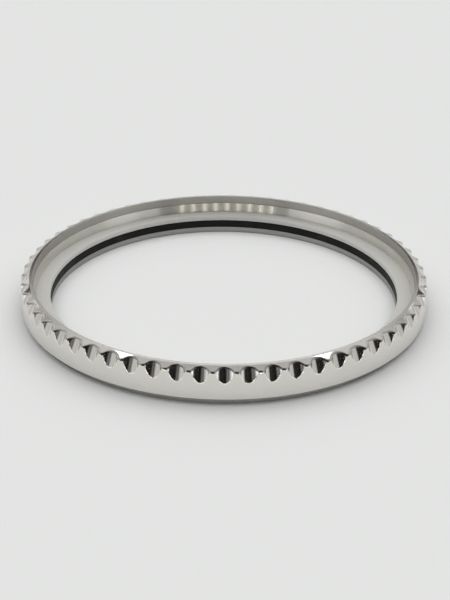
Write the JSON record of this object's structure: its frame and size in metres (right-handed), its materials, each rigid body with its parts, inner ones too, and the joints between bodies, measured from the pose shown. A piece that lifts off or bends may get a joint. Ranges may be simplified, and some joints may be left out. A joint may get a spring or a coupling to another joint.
{
  "type": "rotating watch bezel",
  "caption": "Unidirectional rotating bezel of a diving watch: coin-edge ring with an open insert recess, on a base ring with click spring and sleeve.",
  "frame": {"origin": "on the rotation axis, at the underside of the base ring", "axes": "+Z is the rotation axis and points out of the insert recess, away from the watch case; X and Y lie in the plane of the ring"},
  "size_m": [0.04, 0.04, 0.0036],
  "materials": {
    "bezel_steel": "turned and polished stainless steel",
    "base_steel": "fine turned stainless steel",
    "sleeve_polymer": "black moulded polymer",
    "spring_steel": "rolled spring steel",
    "pin_steel": "turned stainless steel",
    "washer_polymer": "natural low-friction polymer"
  },
  "bodies": {
    "case_side": {"base_ring": "base_steel", "neck_sleeve": "sleeve_polymer", "retaining_wire": "spring_steel", "click_spring": "spring_steel", "spring_pins": "pin_steel", "thrust_washer": "washer_polymer"},
    "bezel": {"bezel_ring": "bezel_steel"}
  },
  "joints": [
    {"name": "bezel_spin", "type": "hinge", "parent": "case_side", "child": "bezel", "pos_m": [0, 0, 0.002], "axis": [0, 0, 1], "continuous": true}
  ]
}
